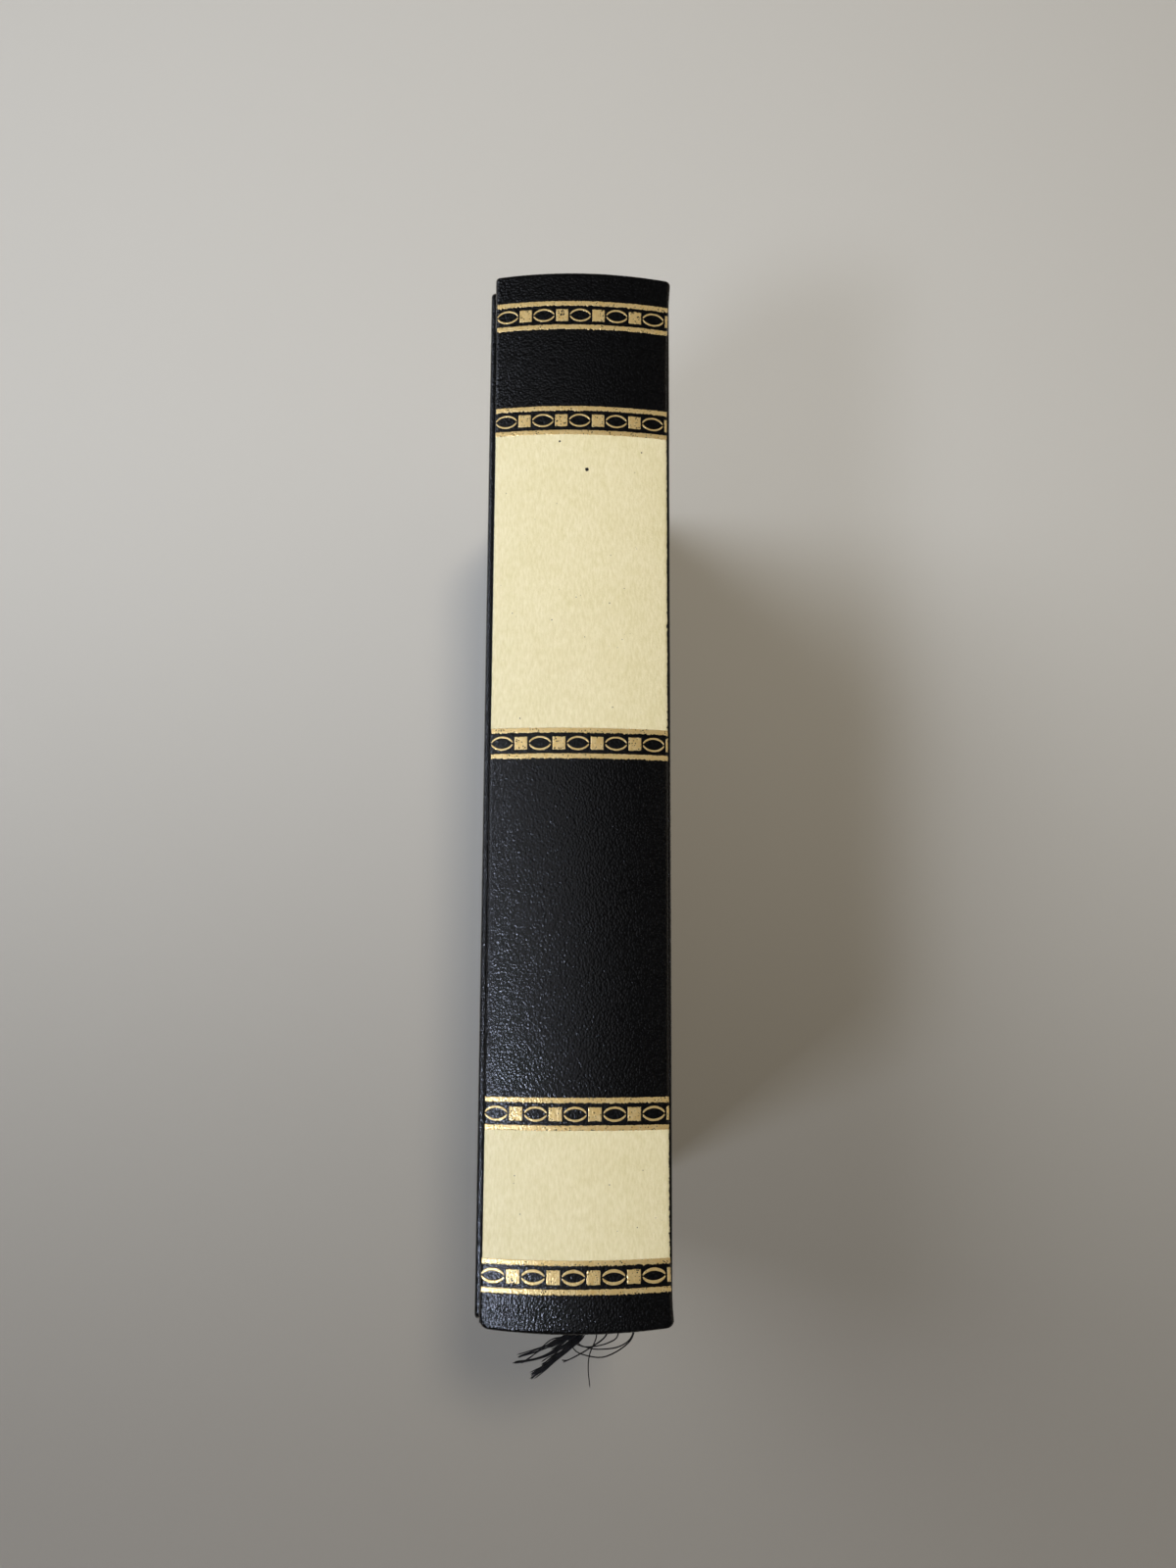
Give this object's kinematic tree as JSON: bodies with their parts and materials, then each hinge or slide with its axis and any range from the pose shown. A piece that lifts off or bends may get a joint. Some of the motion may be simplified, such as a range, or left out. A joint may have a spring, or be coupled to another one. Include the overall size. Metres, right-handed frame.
{
  "type": "hardcover book",
  "caption": "Thick case-bound book with a rounded back, leatherette cover, gilt bands and bare foil fields on the back, and two hinged covers.",
  "frame": {"origin": "on the floor, under the middle of the book as it stands on the fore edges of its boards", "axes": "+Z from the fore edge up to the back, +Y from tail to head, +X through the thickness towards the front cover"},
  "size_m": [0.0406, 0.225, 0.1494],
  "materials": {
    "pages": "cut edges of a stack of book paper",
    "endpaper": "smooth uncoated paper",
    "gauze": "open starched gauze",
    "lining_paper": "brown kraft paper",
    "band_cloth": "rolled striped cotton",
    "ribbon": "satin ribbon, frayed at the end",
    "greyboard": "pressed greyboard",
    "leatherette": "fine grained, semi-gloss",
    "gilt_foil": "hot-stamped foil, speckled where it missed the grain",
    "cream_foil": "hot-stamped pigment foil, satin"
  },
  "bodies": {
    "book_block": {"text_block": "pages", "front_flyleaf": "endpaper", "back_flyleaf": "endpaper", "spine_gauze": "gauze", "spine_lining": "lining_paper", "head_band": "band_cloth", "tail_band": "band_cloth", "ribbon_marker": "ribbon", "spine_card": "greyboard", "spine_cover": "leatherette", "front_joint": "leatherette", "back_joint": "leatherette", "front_endpaper_fold": "endpaper", "back_endpaper_fold": "endpaper", "gilt_band_1": "gilt_foil", "gilt_band_2": "gilt_foil", "gilt_band_3": "gilt_foil", "gilt_band_4": "gilt_foil", "gilt_band_5": "gilt_foil", "upper_panel": "cream_foil", "lower_panel": "cream_foil"},
    "front_cover": {"front_board": "greyboard", "front_cloth": "leatherette", "front_pastedown": "endpaper"},
    "back_cover": {"back_board": "greyboard", "back_cloth": "leatherette", "back_pastedown": "endpaper"}
  },
  "joints": [
    {"name": "front_cover_hinge", "type": "hinge", "parent": "book_block", "child": "front_cover", "pos_m": [0.0192, 0, 0.1445], "axis": [0, -1, 0], "range_deg": [0, 178], "deforming": ["front_joint", "front_endpaper_fold"]},
    {"name": "back_cover_hinge", "type": "hinge", "parent": "book_block", "child": "back_cover", "pos_m": [-0.0192, 0, 0.1445], "axis": [0, 1, 0], "range_deg": [0, 178], "deforming": ["back_joint", "back_endpaper_fold"]}
  ]
}
